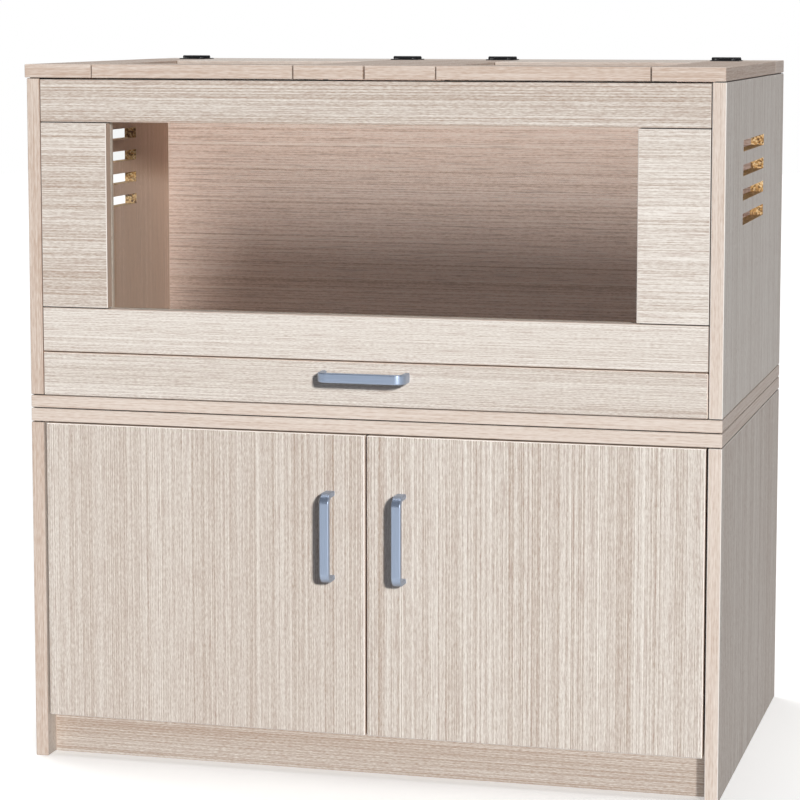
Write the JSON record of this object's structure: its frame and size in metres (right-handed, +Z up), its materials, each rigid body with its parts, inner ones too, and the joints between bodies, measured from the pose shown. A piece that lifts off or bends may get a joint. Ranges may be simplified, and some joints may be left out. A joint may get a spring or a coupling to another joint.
{
  "type": "wooden hamster cage",
  "caption": "Wooden hamster cage with a clear front window, mesh lids, side vents and a pull-out tray, standing on a storage cabinet with hinged doors and bar handles.",
  "frame": {"origin": "on the floor, at the middle of the part's box; the handles count in the box", "axes": "+Z up, -Y out of the front with the doors and window, +X to the right as seen from the front"},
  "size_m": [0.8, 0.525, 0.8097],
  "materials": {
    "laminate": "light streaked wood-grain laminate on particle board",
    "hardboard": "thin laminated hardboard",
    "beech_dowel": "plain beech",
    "clear_acrylic": "clear polished sheet",
    "satin_aluminium": "satin anodised",
    "black_steel": "black powder coat",
    "nickel_steel": "nickel plated",
    "zinc_screw": "zinc plated",
    "galvanised_wire": "galvanised wire"
  },
  "bodies": {
    "case": {"cage_back_board": "laminate", "cage_base_board": "laminate", "cage_dowels": "beech_dowel", "cage_left_side": "laminate", "cage_right_side": "laminate", "door_hinge_arms": "nickel_steel", "door_hinge_plates": "nickel_steel", "left_front_panel": "laminate", "lid_hinge_fixed_leaves": "black_steel", "lid_hinge_pins": "black_steel", "locating_dowels": "beech_dowel", "lower_front_rail": "laminate", "plinth_board": "laminate", "rear_top_board": "laminate", "right_front_panel": "laminate", "storage_back_panel": "hardboard", "storage_bottom_board": "laminate", "storage_dowels": "beech_dowel", "storage_left_side": "laminate", "storage_right_side": "laminate", "storage_top_board": "laminate", "top_front_rail": "laminate", "window_bottom_batten": "laminate", "window_pane": "clear_acrylic", "window_side_battens": "laminate", "window_top_batten": "laminate"},
    "left_door": {"left_door": "laminate", "left_door_handle": "satin_aluminium", "left_door_handle_screws": "zinc_screw", "left_door_hinge_cups": "nickel_steel", "left_door_hinge_pins": "nickel_steel"},
    "right_door": {"right_door": "laminate", "right_door_handle": "satin_aluminium", "right_door_handle_screws": "zinc_screw", "right_door_hinge_cups": "nickel_steel", "right_door_hinge_pins": "nickel_steel"},
    "tray": {"tray_back": "laminate", "tray_dowels": "beech_dowel", "tray_floor": "hardboard", "tray_front": "laminate", "tray_handle": "satin_aluminium", "tray_handle_screws": "zinc_screw", "tray_left_side": "laminate", "tray_right_side": "laminate"},
    "left_lid": {"left_lid_dowels": "beech_dowel", "left_lid_front_rail": "laminate", "left_lid_hinge_leaves": "black_steel", "left_lid_inner_stile": "laminate", "left_lid_mesh": "galvanised_wire", "left_lid_outer_stile": "laminate", "left_lid_rear_rail": "laminate"},
    "right_lid": {"right_lid_dowels": "beech_dowel", "right_lid_front_rail": "laminate", "right_lid_hinge_leaves": "black_steel", "right_lid_inner_stile": "laminate", "right_lid_mesh": "galvanised_wire", "right_lid_outer_stile": "laminate", "right_lid_rear_rail": "laminate"}
  },
  "joints": [
    {"name": "left_door_swing", "type": "hinge", "parent": "case", "child": "left_door", "pos_m": [-0.371, -0.2295, 0.2215], "axis": [0, 0, -1], "range_deg": [0, 105]},
    {"name": "right_door_swing", "type": "hinge", "parent": "case", "child": "right_door", "pos_m": [0.371, -0.2295, 0.2215], "axis": [0, 0, 1], "range_deg": [0, 105]},
    {"name": "left_lid_swing", "type": "hinge", "parent": "case", "child": "left_lid", "pos_m": [-0.2005, 0.182, 0.8075], "axis": [-1, 0, 0], "range_deg": [0, 180]},
    {"name": "right_lid_swing", "type": "hinge", "parent": "case", "child": "right_lid", "pos_m": [0.2005, 0.182, 0.8075], "axis": [-1, 0, 0], "range_deg": [0, 180]},
    {"name": "tray_slide", "type": "slide", "parent": "case", "child": "tray", "axis": [0, -1, 0], "range_m": [0, 0.38]}
  ]
}
